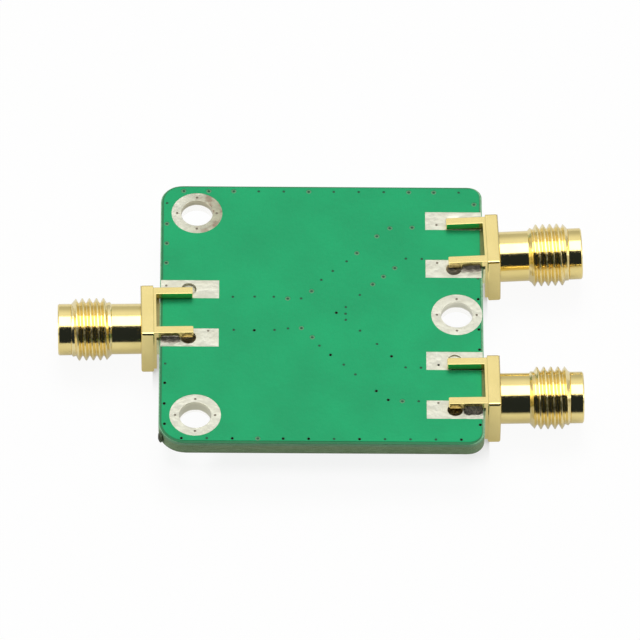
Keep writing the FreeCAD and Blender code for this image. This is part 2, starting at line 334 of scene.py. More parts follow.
def make_gold(name, turned):
    # bright gold plating: turned pieces keep fine rings round their axis, milled ones a soft grain
    mat, tree, shader, place = material(name, (0.93, 0.765, 0.325), 0.1, 1.0)
    cloud = noise(tree, place, 0.35, 2.0)
    tint = blend(tree, spread(tree, cloud, 0.35, 0.65), (0.95, 0.785, 0.335), (0.90, 0.735, 0.30))
    if turned:
        # the thread's flanks, cut last, are a little paler
        along = calc(tree, "ABSOLUTE", axis_of(tree, place, 0))
        cut = calc(tree, "MULTIPLY", spread(tree, along, THREAD_START - 0.05, THREAD_START + 0.1),
                   spread(tree, along, COLLAR_START + 0.05, COLLAR_START - 0.1))
        tint = blend(tree, cut, tint, (0.94, 0.79, 0.40))
        grain = noise(tree, place, 1.0, 2.0, (14.0, 0.25, 0.25))
        dull, strength = (0.07, 0.13), 0.08
    else:
        grain = noise(tree, place, 3.5, 4.0)
        dull, strength = (0.12, 0.20), 0.02
    wire(tree, shader, tint, grain, dull, grain, strength, 0.01)
    return mat


def make_mask(name, colour, dull):
    # green lacquer: satin, with a faint mottling and a very low orange peel
    mat, tree, shader, place = material(name, colour, 0.32, 0.0, Specular_IOR_Level=0.22)
    cloud = noise(tree, place, 0.16, 3.0)
    tint = blend(tree, spread(tree, cloud, 0.35, 0.65), shade(colour, 0.93), shade(colour, 1.05))
    peel = noise(tree, place, 1.4, 2.0)
    wire(tree, shader, tint, cloud, (0.30 + dull, 0.38 + dull), peel, 0.05, 0.02)
    return mat


def make_tin(name, tarnished=False):
    # levelled tin: pale and nearly matt, with faint streaks and rubs; a tarnished land darkens and
    # browns toward its right side
    mat, tree, shader, place = material(name, (0.66, 0.65, 0.54), 0.42, 0.55)
    cloud = noise(tree, place, 0.9, 5.0)
    tint = blend(tree, spread(tree, cloud, 0.35, 0.7), (0.675, 0.67, 0.56), (0.63, 0.62, 0.50))
    rubs = spread(tree, noise(tree, place, 1.0, 6.0, (2.0, 5.0, 1.0)), 0.60, 0.75, 0.0, 0.16)
    tint = blend(tree, rubs, tint, (0.40, 0.37, 0.33))
    if tarnished:
        across = axis_of(tree, place, 0)
        tint = blend(tree, spread(tree, across, -14.6, -10.4), tint, (0.39, 0.385, 0.27))
        spots = spread(tree, noise(tree, place, 1.1, 4.0), 0.48, 0.60)
        spots = calc(tree, "MULTIPLY", spots, spread(tree, across, -13.6, -11.0, 0.1, 0.8))
        tint = blend(tree, spots, tint, (0.27, 0.18, 0.125))
    wire(tree, shader, tint, cloud, (0.36, 0.5), cloud, 0.10, 0.03)
    return mat


def make_wall(name, shaded_lip, depth):
    # bright plating down a hole; down to a depth, its upper part is painted a grey-tan shade,
    # lighter just under the rim, for the dim floor under the board that it mirrors
    bright = (0.96, 0.955, 0.93)
    mat, tree, shader, place = material(name, bright, 0.14, 1.0)
    level = axis_of(tree, place, 2)
    cloud = noise(tree, place, 1.5, 4.0)
    edge = calc(tree, "ADD", level, spread(tree, cloud, 0.3, 0.7, -0.04, 0.04))
    # painted shade on the wall's upper part, lighter just under the rim
    lip_shade = blend(tree, spread(tree, level, -0.1, -0.45), shade(shaded_lip, 1.25), shaded_lip)
    ends = (depth - 0.05, depth + 0.05)
    tint = blend(tree, spread(tree, edge, *ends), bright, lip_shade)
    wire(tree, shader, tint, edge, (0.12, 0.35), cloud, 0.03, 0.02, *ends)
    return mat


def make_laminate_material():
    # cut glass and epoxy: fine fibre lines along the edge and an olive body, greener under the face
    # and darker toward its bottom, with painted shade on the left face by the front left corner,
    # which is turned away from the light
    mat, tree, shader, place = material("glass_epoxy", (0.27, 0.39, 0.21), 0.6)
    lines = noise(tree, place, 1.0, 5.0, (1.2, 1.2, 16.0))
    blotch = noise(tree, place, 0.9, 4.0)
    tint = blend(tree, spread(tree, lines, 0.35, 0.65), (0.20, 0.345, 0.15), (0.31, 0.475, 0.25))
    level = axis_of(tree, place, 2)
    # the painted shade on the left face by the front left corner, which faces away from the light
    corner_shade = distance(tree, place, CORNER_SHADE_AT)
    for share, over in ((spread(tree, blotch, 0.5, 0.75, 0.0, 0.35), (0.32, 0.43, 0.26)),
                        (spread(tree, level, -0.42, -0.25, 0.0, 0.75), (0.19, 0.47, 0.27)),
                        (spread(tree, level, -1.2, -1.5, 0.0, 0.5), (0.20, 0.24, 0.14)),
                        (spread(tree, corner_shade, *CORNER_SHADE_FADE), (0.05, 0.05, 0.025))):
        tint = blend(tree, share, tint, over)
    feed(tree, shader, "Base Color", tint)
    bump(tree, shader, lines, 0.35, 0.02)
    return mat


def make_solder(name, colour, roughness, grit=0.06):
    # set solder: cloudy, with a grain as deep as its grit
    mat, tree, shader, place = material(name, colour, roughness, 1.0)
    cloud = noise(tree, place, 1.6, 4.0)
    tint = blend(tree, spread(tree, cloud, 0.4, 0.65), colour, shade(colour, 0.6))
    grain = noise(tree, place, 5.0, 3.0)
    wire(tree, shader, tint, cloud, (roughness, roughness + 0.1), grain, grit, 0.02)
    return mat


def make_plain(name, colour, roughness, metallic=0.0, **extra):
    # an even material with a little colour and roughness variation of its own
    mat, tree, shader, place = material(name, colour, roughness, metallic, **extra)
    cloud = noise(tree, place, 3.0, 4.0)
    tint = blend(tree, spread(tree, cloud, 0.35, 0.65), colour, shade(colour, 0.88))
    wire(tree, shader, tint, cloud, (roughness, roughness + 0.1), cloud, 0.1, 0.02)
    return mat


GOLD_TURNED = make_gold("gold_turned", True)
GOLD_MILLED = make_gold("gold_milled", False)
MASK_GREEN = make_mask("mask_over_copper", (0.013, 0.378, 0.143), 0.0)
MASK_BARE = make_mask("mask_over_laminate", (0.035, 0.200, 0.085), 0.06)
TINNED = make_tin("tinned")
TARNISHED = make_tin("tinned_tarnished", True)
# the grey-tan painted shade on each hole's upper wall, and the depth it reaches
WALLS = {"rear_left": make_wall("wall_rear_left", (0.42, 0.39, 0.28), -0.62),
         "front_left": make_wall("wall_front_left", (0.50, 0.49, 0.37), -1.20),
         "right": make_wall("wall_right", (0.60, 0.59, 0.48), -0.78)}
GLASS_EPOXY = make_laminate_material()
COPPER = make_plain("copper", (0.62, 0.33, 0.20), 0.35, 1.0)
# painted shade: near black down the stitching holes, dark green in the lacquer sunk into them
VIA_BORE_SHADE = make_plain("via_bore_shade", (0.030, 0.032, 0.020), 0.7)
VIA_DIMPLE_SHADE = make_plain("via_dimple_shade", (0.012, 0.085, 0.038), 0.6)
VIA_RING = make_plain("via_ring", (0.10, 0.31, 0.15), 0.5)
VIA_GREY = make_plain("via_grey", (0.20, 0.17, 0.12), 0.5)
SOLDER = make_solder("solder_bright", (0.19, 0.17, 0.135), 0.34)
SOLDER_DULL = make_solder("solder_dull", (0.34, 0.31, 0.26), 0.34)
SOLDER_DARK = make_solder("solder_dark", (0.34, 0.29, 0.19), 0.24)
# painted shade seen down the gaps by the webs: pale khaki at the input, olive green at the outputs
GAP_SHADE_PALE = make_plain("gap_shade_pale", (0.30, 0.27, 0.11), 0.4)
GAP_SHADE_GREEN = make_plain("gap_shade_green", (0.14, 0.19, 0.06), 0.4)
SOLDER_KHAKI = make_plain("solder_khaki", (0.84, 0.85, 0.50), 0.28, 1.0)
SOLDER_GRIMY = make_solder("solder_grimy", (0.24, 0.22, 0.18), 0.38, 1.0)
# painted shade: the solder beside each far leg, in that leg's shadow
FAR_BEAD_SHADE = make_plain("far_bead_shade", (0.04, 0.075, 0.03), 0.7, Specular_IOR_Level=0.08)
PTFE = make_plain("ptfe", (0.86, 0.86, 0.83), 0.5)
CERAMIC = make_plain("ceramic", (0.80, 0.80, 0.77), 0.55)
COAT = make_plain("resistor_coat", (0.02, 0.02, 0.022), 0.3)
CAP = make_plain("cap_tin", (0.70, 0.69, 0.66), 0.3, 0.9)


# ---- flat shapes ----

def around(n):
    return [TAU * i / n for i in range(n)]


def disc(x, y, r, n=20):
    return [(x + r * cos(a), y + r * sin(a)) for a in around(n)]


def rect(x0, x1, y0, y1):
    x0, x1 = sorted((x0, x1))
    y0, y1 = sorted((y0, y1))
    return [(x0, y0), (x1, y0), (x1, y1), (x0, y1)]


def round_rect(x0, x1, y0, y1, radii, n=10):
    # corners in turn: right back, left back, left front, right front
    loop = []
    for k, r in enumerate(radii):
        cx = x1 - r if k in (0, 3) else x0 + r
        cy = y1 - r if k < 2 else y0 + r
        for i in range(n + 1):
            a = (k + i / n) * pi / 2
            loop.append((cx + r * cos(a), cy + r * sin(a)))
    return loop


def ribbon(path, half):
    # a band of even width along a path of two or three points, mitred at its bend
    left, right = [], []
    for i, (x, y) in enumerate(path):
        normals = []
        for a, b in ((i - 1, i), (i, i + 1)):
            if 0 <= a and b < len(path):
                d = Vector(path[b]) - Vector(path[a])
                normals.append(Vector((-d.y, d.x)).normalized())
        n = sum(normals, Vector((0, 0))) / len(normals)
        n *= half / n.length_squared
        left.append((x + n.x, y + n.y))
        right.append((x - n.x, y - n.y))
    return left + right[::-1]


def holds(loop, x, y):
    # whether a point lies in a closed loop
    inside = False
    for (xa, ya), (xb, yb) in zip(loop, loop[1:] + loop[:1]):
        if (ya > y) != (yb > y) and x < (xb - xa) * (y - ya) / (yb - ya) + xa:
            inside = not inside
    return inside


def box_of(loop):
    xs, ys = [p[0] for p in loop], [p[1] for p in loop]
    return min(xs), max(xs), min(ys), max(ys)


def cut_up(loops):
    # splits the plane along closed loops: its points, its faces and the middle of each face
    points, edges = [], []
    for loop in loops:
        start = len(points)
        points += [Vector(p) for p in loop]
        edges += [(start + i, start + (i + 1) % len(loop)) for i in range(len(loop))]
    flat, _, faces, *_ = delaunay_2d_cdt(points, edges, [], 0, FLAT_EPSILON)
    middles = [(sum(flat[i].x for i in f) / len(f), sum(flat[i].y for i in f) / len(f))
               for f in faces]
    return flat, faces, middles


def rim_of(faces):
    # the edges that only one of the faces has
    sides = {(f[i], f[(i + 1) % len(f)]) for f in faces for i in range(len(f))}
    return [(a, b) for a, b in sides if (b, a) not in sides]


def plate(outlines, cutters, z0, z1):
    # a flat piece: all that lies in an outline and in no cutter, between two heights
    flat, faces, middles = cut_up(outlines + cutters)
    boxes = [(*box_of(c), c) for c in cutters]
    kept = []
    for f, (x, y) in zip(faces, middles):
        if not any(holds(o, x, y) for o in outlines):
            continue
        if any(a < x < b and c < y < d and holds(loop, x, y) for a, b, c, d, loop in boxes):
            continue
        kept.append(tuple(f))
    used = sorted({i for f in kept for i in f})
    place = {i: k for k, i in enumerate(used)}
    n = len(used)
    verts = [(flat[i].x, flat[i].y, z) for z in (z1, z0) for i in used]
    shape = []
    for f in kept:
        shape.append([place[i] for i in f])
        shape.append([place[i] + n for i in reversed(f)])
    shape += [[place[a] + n, place[b] + n, place[b], place[a]] for a, b in rim_of(kept)]
    return verts, shape


def stack(loops, levels, inside):
    # a solid of flat layers that share their edges; inside(layer, x, y) says what each one holds
    flat, faces, middles = cut_up(loops)
    n = len(flat)
    held = [[False] + [inside(k, x, y) for k in range(len(levels) - 1)] + [False]
            for x, y in middles]
    shape = []
    for level in range(len(levels)):
        for f, h in zip(faces, held):
            if h[level] != h[level + 1]:
                ring = [i + level * n for i in f]
                shape.append(ring if h[level] else ring[::-1])
    for layer in range(len(levels) - 1):
        rim = rim_of([f for f, h in zip(faces, held) if h[layer + 1]])
        low, high = layer * n, (layer + 1) * n
        shape += [[a + low, b + low, b + high, a + high] for a, b in rim]
    used = sorted({i for f in shape for i in f})
    place = {i: k for k, i in enumerate(used)}
    verts = [(flat[i % n].x, flat[i % n].y, levels[i // n]) for i in used]
    return verts, [[place[i] for i in f] for f in shape]


def weld(verts, faces):
    # one closed skin: points that meet are joined and the faces turned outward
    mesh = bmesh.new()
    points = [mesh.verts.new(v) for v in verts]
    for f in faces:
        mesh.faces.new([points[k] for k in f])
    bmesh.ops.remove_doubles(mesh, verts=mesh.verts, dist=WELD_REACH)
    bmesh.ops.dissolve_degenerate(mesh, dist=FLAT_EPSILON, edges=mesh.edges)
    bmesh.ops.recalc_face_normals(mesh, faces=mesh.faces)
    mesh.verts.index_update()
    shape = [tuple(v.co) for v in mesh.verts], [[v.index for v in f.verts] for f in mesh.faces]
    mesh.free()
    return shape


def belts(count, n):
    # the four-sided faces between rings of n points each
    return [[k * n + i, (k + 1) * n + i, (k + 1) * n + (i + 1) % n, k * n + (i + 1) % n]
            for k in range(count) for i in range(n)]


def turned(x, y, profile, n):
    # a closed profile of radii and heights, turned round an upright axis
    verts = [(x + r * cos(a), y + r * sin(a), z) for a in around(n) for r, z in profile]
    m = len(profile)
    faces = [[i * m + j, (i + 1) % n * m + j, (i + 1) % n * m + (j + 1) % m, i * m + (j + 1) % m]
             for i in range(n) for j in range(m)]
    return verts, faces


def tube(x, y, r_in, r_out, z0, z1, n):
    return turned(x, y, [(r_in, z0), (r_out, z0), (r_out, z1), (r_in, z1)], n)


def plated_wall(x, y, r, n):
    # the plated wall of a hole, its two mouths eased into the land by a rounding
    low, high, ease = BOTTOM - PAD_TOP, PAD_TOP, HOLE_EASE
    turns = [radians(15 * k) for k in range(7)]
    upper = [(r + ease - ease * sin(t), high - ease + ease * cos(t)) for t in turns]
    lower = [(a, low + high - b) for a, b in reversed(upper)]
    back = [(r + ease, low + PAD_TOP), (r + PLATING, low + PAD_TOP),
            (r + PLATING, high - PAD_TOP), (r + ease, high - PAD_TOP)]
    return turned(x, y, back + upper + lower, n)


def merged(shapes):
    # several shapes as one
    verts, faces = [], []
    for vs, fs in shapes:
        k = len(verts)
        verts += vs
        faces += [[i + k for i in f] for f in fs]
    return verts, faces


# ---- pieces ----

def weigh_edges(mesh, weight):
    # how much of the edge rounding each sharp edge gets
    shape = bmesh.new()
    shape.from_mesh(mesh)
    layer = shape.edges.layers.float.new("bevel_weight_edge")
    for edge in shape.edges:
        if len(edge.link_faces) == 2 and edge.calc_face_angle() > SHARP:
            edge[layer] = weight(edge.verts[0].co, edge.verts[1].co)
    shape.to_mesh(mesh)
    shape.free()


def put(name, data, matrix):
    obj = bpy.data.objects.new(name, data)
    bpy.context.scene.collection.objects.link(obj)
    obj.matrix_world = matrix
    return obj


def piece(name, shape, mat, slot, nodes=(), matrix=BOARD, bevel=0.0, smooth=None, segments=2,
          weight=None):
    # one piece of the part: its shape, look and finish, and what it stands for in the CAD
    verts, faces = shape
    mesh = bpy.data.meshes.new(name)
    mesh.from_pydata([tuple(v) for v in verts], [], faces)
    mesh.validate()
    mesh.materials.append(mat)
    obj = put(name, mesh, matrix)
    if bevel:
        b = obj.modifiers.new("edges", "BEVEL")
        b.width = bevel
        b.segments = segments
        b.limit_method = "WEIGHT" if weight else "ANGLE"
        b.use_clamp_overlap = not weight
        b.angle_limit = SHARP
        if weight:
            weigh_edges(mesh, weight)
    if smooth is not None:
        for p in mesh.polygons:
            p.use_smooth = True
        mesh.set_sharp_from_angle(angle=radians(smooth))
        obj.modifiers.new("shading", "WEIGHTED_NORMAL").keep_sharp = True
    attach(obj, "root")
    if nodes:
        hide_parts(*nodes)
    return obj


def legs_of(port):
    side, y = PORTS[port]
    return [(side, y - PAD_OFF), (side, y + PAD_OFF)]


ALL_LEGS = [leg for port in PORTS for leg in legs_of(port)]


def pad_loop(side, y):
    return rect(side * (HALF_W - PAD_INSET), side * (HALF_W - PAD_REACH[side]),
                y - PAD_HALF_W, y + PAD_HALF_W)


def pin_loop(side, y, extra=0.0):
    return rect(side * (PIN_END_X + extra), side * (PIN_END_X - PIN_PAD_L),
                y - TRACE_HALF_W, y + TRACE_HALF_W)


# stitching holes, by how they look: o opened with a pale ring, d open and dark, s closed by mask
def row_of(kinds, y):
    return [(k, STITCH_X + STITCH_STEP * i, y) for i, k in enumerate(kinds)]


STITCHES = row_of("ooossosssoos", 15.64) + row_of("dsdoddsdsssd", -15.69) + [
    ("s", -15.63, 14.07), ("o", -15.63, 11.41), ("o", -15.62, 8.90), ("o", -15.64, 6.41),
    ("s", -15.64, -6.38), ("d", -15.67, -8.80), ("d", -15.70, -11.39), ("d", -15.65, -13.92),
    ("o", 15.46, 14.11), ("s", 15.77, 4.64), ("d", 15.77, 2.00), ("d", 15.80, -1.85),
    ("d", 15.85, -4.40), ("d", 15.82, -13.83),
    ("s", -8.91, 2.11), ("s", -6.72, 2.15), ("s", -4.79, 2.15), ("o", -3.39, 1.93),
    ("s", -2.05, 1.95), ("o", -0.99, 2.89), ("s", -0.01, 4.34), ("s", 1.14, 5.48),
    ("s", 2.54, 6.72), ("o", 3.58, 7.78), ("o", 5.60, 9.96), ("o", 6.92, 11.00), ("o", 9.17, 11.10),
    ("s", -8.80, -2.08), ("d", -6.74, -2.11), ("s", -4.71, -2.06), ("s", -3.36, -1.86),
    ("o", -2.01, -1.80), ("o", -0.92, -2.95), ("s", -0.21, -4.01), ("d", 0.90, -5.17),
    ("s", 2.23, -6.39), ("s", 3.39, -7.61), ("d", 5.48, -9.67), ("d", 6.66, -10.78),
    ("o", 8.07, -10.93), ("s", 9.71, -10.93),
    ("d", 1.50, 0.17), ("s", 2.45, 0.89), ("s", 2.42, 0.04), ("s", 2.44, -0.73),
    ("s", 3.86, 2.44), ("o", 5.16, 3.81), ("o", 6.25, 4.80), ("o", 7.40, 5.90),
    ("s", 8.52, 7.11), ("s", 10.13, 7.08),
    ("s", 3.87, -2.09), ("s", 5.57, -3.76), ("d", 7.02, -5.30), ("s", 8.42, -6.69),
    ("s", 9.96, -6.72),
]
# those in the leg pads, and four round each screw hole; one of them stays open
PAD_STITCHES = [(-15.62, 3.50), (-11.37, -2.20), (11.64, 11.46), (11.68, 6.59),
                (11.72, -6.35), (11.67, -11.12)]
OPEN_STITCH = (11.72, -6.35)
RING_STITCHES = [(x + STITCH_OFF * dx, y + STITCH_OFF * dy) for x, y in MOUNTS.values()
                 for dx, dy in ((1, 0), (0, 1), (-1, 0), (0, -1))]
# the mask's opening by how the hole looks
HOLE_R = {"o": 0.27, "d": 0.16, "s": 0.14}
ALL_STITCHES = [(x, y) for _, x, y in STITCHES] + PAD_STITCHES + RING_STITCHES
STITCH_CUTS = [disc(x, y, STITCH_R, STITCH_SIDES) for x, y in ALL_STITCHES]

OUTLINE = round_rect(-HALF_W, HALF_W, -HALF_D, HALF_D, CORNERS)
MASK_OUTLINE = round_rect(*MASK_EDGES, CORNERS)
COPPER_AREA = round_rect(*COPPER_EDGES, [r - COPPER_CORNER_EASE for r in CORNERS])
LANDS = [disc(x, y, LAND_R, MOUNT_SIDES) for x, y in MOUNTS.values()]
PADS = [pad_loop(*leg) for leg in ALL_LEGS]

drilled = [disc(x, y, MOUNT_R + PLATING, MOUNT_SIDES) for x, y in MOUNTS.values()]
drilled += [disc(s * LEG_HOLE_X, y, LEG_HOLE_R + PLATING, LEG_HOLE_SIDES) for s, y in ALL_LEGS]
piece("board_laminate", plate([OUTLINE], drilled + STITCH_CUTS, BOTTOM, 0.0),
      GLASS_EPOXY, "glass_epoxy_laminate", ["pcb_laminate"])


def mask(name, outlines, cutters, z0, z1, mat, nodes=(), bevel=0.0):
    piece(name, plate(outlines, cutters, z0, z1), mat, "green_solder_mask", nodes, bevel=bevel)


mask_holes = [disc(x, y, HOLE_R[k]) for k, x, y in STITCHES]
mask("ground_mask", [COPPER_AREA], LANDS + PADS + mask_holes, 0.0, MASK_TOP, MASK_GREEN,
     ["ground_face_solder_mask"], 0.01)
mask("ground_mask_rim", [MASK_OUTLINE], [COPPER_AREA] + LANDS + PADS, 0.0, MASK, MASK_BARE)

# trace face: the same lacquer, lower in the gaps beside the signal lines
PATHS = {
    "input": [(FORK_X, 0.0), (-PIN_END_X, 0.0)],
    "rear": [(FORK_X, 0.0), (KNEE_X, PORT_Y), (PIN_END_X, PORT_Y)],
    "front": [(FORK_X, 0.0), (KNEE_X, -PORT_Y), (PIN_END_X, -PORT_Y)],
}


def run_out(path):
    # a line's path, longer at its outer end
    (xa, _), (xb, yb) = path[-2:]
    return path[:-1] + [(xb + copysign(LINE_PAST, xb - xa), yb)]


chip_cuts = []
for path in PATHS.values():
    a = Vector(path[0])
    along = (Vector(path[1]) - a).normalized()
    across = Vector((-along.y, along.x))
    for side in (-1, 1):
        near = CHIP_AT + side * CHIP_GAP / 2
        far = near + side * CHIP_PAD_L
        corners = [(near, -1), (far, -1), (far, 1), (near, 1)]
        loop = [a + along * t + across * (w * CHIP_PAD_HALF_W) for t, w in corners]
        chip_cuts.append([(p.x, p.y) for p in (loop if side > 0 else loop[::-1])])
pin_cuts = [pin_loop(side, y, OPENING_PAST) for side, y in PORTS.values()]
lines = [ribbon(run_out(p), TRACE_HALF_W) for p in PATHS.values()]
clear = [ribbon(run_out(p), TRACE_HALF_W + TRACE_GAP) for p in PATHS.values()]
tin_cuts = chip_cuts + pin_cuts
mask("trace_mask_ground", [COPPER_AREA], clear + mask_holes + LANDS + PADS + tin_cuts,
     BOTTOM - MASK_TOP, BOTTOM, MASK_GREEN, ["trace_face_solder_mask"], 0.01)
mask("trace_mask_lines", lines, tin_cuts, BOTTOM - MASK_TOP, BOTTOM - FOIL, MASK_GREEN)
mask("trace_mask_gaps", clear, lines + tin_cuts, BOTTOM - MASK, BOTTOM, MASK_BARE)
mask("trace_mask_rim", [MASK_OUTLINE], [COPPER_AREA] + clear + LANDS + PADS, BOTTOM - MASK,
     BOTTOM, MASK_BARE)


def lump(middle, reach):
    # a closed, slightly uneven lump
    n, rings = 14, 8
    verts = []
    for k in range(1, rings):
        level = pi * k / rings
        for a in around(n):
            way = (sin(level) * cos(a), sin(level) * sin(a), cos(level))
            swell = 1.0 + 0.12 * (dice.random() - 0.5)
            verts.append(tuple(c + r * w * swell for c, r, w in zip(middle, reach, way)))
    caps = [list(range(n)), list(range((rings - 2) * n, (rings - 1) * n))[::-1]]
    return verts, belts(rings - 2, n) + caps


piece("laminate_burr", lump(BURR_AT, BURR_REACH), GLASS_EPOXY, "glass_epoxy_laminate", smooth=60)

# stitching holes: a plated wall all the way through, painted near black as the shade down these
# narrow holes, and a ring where the mask is open
barrels = [tube(x, y, STITCH_BORE_R, STITCH_R, BOTTOM - FOIL, FOIL, STITCH_SIDES)
           for x, y in ALL_STITCHES]
piece("stitch_barrels", merged(barrels), VIA_BORE_SHADE, "copper_foil", smooth=30)
rings = [tube(x, y, RING_IN, RING_OUT, z, z + RING_T, 20) for k, x, y in STITCHES if k == "o"
         for z in (FOIL, BOTTOM - FOIL - RING_T)]
piece("stitch_rings", merged(rings), VIA_RING, "tinned_plating")


def plug(x, y, r, z):
    return plate([disc(x, y, r - PLUG_EASE, STITCH_SIDES)], [], z, z + PLUG_T)


# lacquer sunk into the holes, darker than bare lacquer by painted shade in the dimples
plugs = [plug(x, y, STITCH_BORE_R if k == "o" else HOLE_R[k], z)
         for k, x, y in STITCHES if k != "d" for z in (MASK_PLUG_Z, BOTTOM - MASK_PLUG_Z - PLUG_T)]
piece("stitch_mask_plugs", merged(plugs), VIA_DIMPLE_SHADE, "green_solder_mask")


def both_faces(loop, hole, stitches):
    # the tin of a land or pad on both faces
    holes = [hole] + [disc(x, y, TIN_HOLE_R, STITCH_SIDES) for x, y in stitches]
    return [plate([loop], holes, z, z + PAD_TOP) for z in (0.0, BOTTOM - PAD_TOP)]


for name, (x, y) in MOUNTS.items():
    sheets = both_faces(disc(x, y, LAND_R, MOUNT_SIDES),
                        disc(x, y, MOUNT_R + HOLE_EASE, MOUNT_SIDES), RING_STITCHES)
    piece("mounting_land_" + name, merged(sheets), TARNISHED if name == "rear_left" else TINNED,
          "tinned_plating", ["mounting_plating_" + name], smooth=35)
    piece("mounting_wall_" + name, plated_wall(x, y, MOUNT_R, MOUNT_SIDES),
          WALLS[name], "tinned_plating", smooth=50)

for port in PORTS:
    sheets, walls = [], []
    for side, y in legs_of(port):
        x = side * LEG_HOLE_X
        hole = disc(x, y, LEG_HOLE_R + HOLE_EASE, LEG_HOLE_SIDES)
        sheets += both_faces(pad_loop(side, y), hole, PAD_STITCHES)
        walls.append(plated_wall(x, y, LEG_HOLE_R, LEG_HOLE_SIDES))
    piece(port + "_pads", merged(sheets), TINNED, "tinned_plating", [port + "_leg_pads"], smooth=35)
    piece(port + "_pad_walls", merged(walls), TINNED, "tinned_plating", smooth=50)
# the stitching holes in the tin are nearly closed by it, all but one
plugs = [plug(x, y, TIN_HOLE_R, z) for x, y in PAD_STITCHES + RING_STITCHES
         if (x, y) != OPEN_STITCH
         for z in (PAD_TOP - TIN_PLUG_SINK, BOTTOM - PAD_TOP + TIN_PLUG_SINK - PLUG_T)]
piece("stitch_tin_plugs", merged(plugs), VIA_GREY, "tinned_plating")


# ---- jacks ----

def swing_of(port):
    # how a jack is turned and lifted
    _, turn, lift, _ = SEATS[port]
    turn, lift = radians(turn), radians(lift)
    return Matrix.Rotation(turn, 3, "Z") @ Matrix.Rotation(-lift, 3, "Y")


def jack_piece(port, name, shape, mat, nodes=(), **finish):
    # turns a shape from the jack's frame to the shared directions, about its origin
    place = Matrix.Translation((Vector(SEATS[port][0]) + SHIFT) * MM) @ Matrix.Scale(MM, 4)
    verts = [swing_of(port) @ Vector(v) for v in shape[0]]
    return piece(port + name, (verts, shape[1]), mat, "gold_plated_brass", nodes, place, **finish)


def edge_share(port):
    # the flange's front rim, and its back rim away from the upper legs, are the roundest
    back = swing_of(port).inverted()

    def share(a, b):
        ends = (back @ a, back @ b)
        front = min(v.x for v in ends) > FLANGE_FRONT - NEAR
        back_rim = all(abs(v.x - WEB_T) < NEAR and v.z < RIM_TOP
                       and max(abs(v.y), -v.z) > WEB_HALF + RIM_OUT for v in ends)
        return 1.0 if front or back_rim else OTHER_EDGES
    return share


def thread_radius(phase):
    # radius at a distance from a crest's middle: a round tip, straight flanks, a narrow flat root
    d = abs((phase + PITCH / 2) % PITCH - PITCH / 2)
    if d <= TIP_HALF:
        return CREST_R - CREST_TIP + sqrt(CREST_TIP ** 2 - d * d)
    return CREST_R - min(TIP_DROP + SLOPE * (d - TIP_HALF), THREAD_DEPTH)


def make_barrel(crest_x, crest_angle):
    # outside with its right-handed thread, mouth and bore, as rings of points round the axis
    n = BARREL_SIDES
    tip = [CREST_TIP * sin(radians(15 * k)) for k in range(-4, 5)]
    cuts = [-FLANK] + tip + [FLANK]
    base = crest_x - PITCH * crest_angle / TAU
    columns = sorted(base + PITCH * k + c for k in range(-12, 3) for c in cuts)
    front = [(FLANGE_FRONT - 0.1, BARREL_R), (THREAD_START - 0.01, BARREL_R)]
    back = [(COLLAR_START + 0.01, COLLAR_R), (JACK_L - MOUTH_CHAMFER, COLLAR_R),
            (JACK_L, COLLAR_R - MOUTH_CHAMFER), (JACK_L, MOUTH_R + MOUTH_EASE),
            (JACK_L - MOUTH_EASE, MOUTH_R), (CONTACT_PLANE, MOUTH_R), (CONTACT_PLANE, BORE_R),
            (FLANGE_FRONT - 0.1, BORE_R)]
    verts = []
    for i in range(n + 1):
        a = TAU * i / n
        ring = list(front)
        for s in columns:
            x = min(max(s + PITCH * a / TAU, THREAD_START), COLLAR_START)
            ends = min(x - THREAD_START, COLLAR_START - x)
            limit = BARREL_R + (CREST_R - BARREL_R) * min(ends / END_RUN, 1.0)
            phase = x - crest_x - PITCH * (a - crest_angle) / TAU
            ring.append((x, min(thread_radius(phase), limit)))
        ring += back
        verts += [(x, r * cos(a), r * sin(a)) for x, r in ring]
    m = len(ring)
    faces = [[i * m + j, i * m + (j + 1) % m, (i + 1) * m + (j + 1) % m, (i + 1) * m + j]
             for i in range(n) for j in range(m)]
    return weld(verts, faces)


def make_block():
    # web, flange and the four legs, drawn in the plane across the axis and stacked along it
    legs = [rect(side * LEG_IN, side * LEG_OUT, z0, z1) for side in (-1, 1)
            for z0, z1 in ((SLOT_HIGH, LEG_TOP), (LEG_LOW, SLOT_LOW))]
    web = rect(-WEB_HALF, WEB_HALF, -WEB_HALF, LEG_TOP)
    flange = round_rect(-FLANGE_HALF, FLANGE_HALF, -FLANGE_HALF, FLANGE_HALF, (FLANGE_R,) * 4, 4)
    levels = [-LEG_L, 0.35 * LEG_NOSE - LEG_L, LEG_NOSE - LEG_L, 0.0, WEB_T, FLANGE_FRONT]

    def inside(layer, y, z):
        if layer < 3:
            return any(holds(leg, y, z) for leg in legs)
        return holds(web if layer == 3 else flange, y, z) and hypot(y, z) > BORE_R * 0.999

    verts, faces = stack(legs + [web, flange, disc(0, 0, BORE_R, BORE_SIDES)], levels, inside)
    placed = []
    for y, z, x in verts:
        # the legs' ends are drawn in toward their tips
        draw = 0.0
        if x < levels[0] + FLAT_EPSILON:
            draw = LEG_NOSE
        elif x < levels[1] + FLAT_EPSILON:
            draw = 0.25 * LEG_NOSE
        placed.append((x, y - copysign(draw, abs(y) - LEG_MIDDLE) * copysign(1, y), z))
    return placed, faces


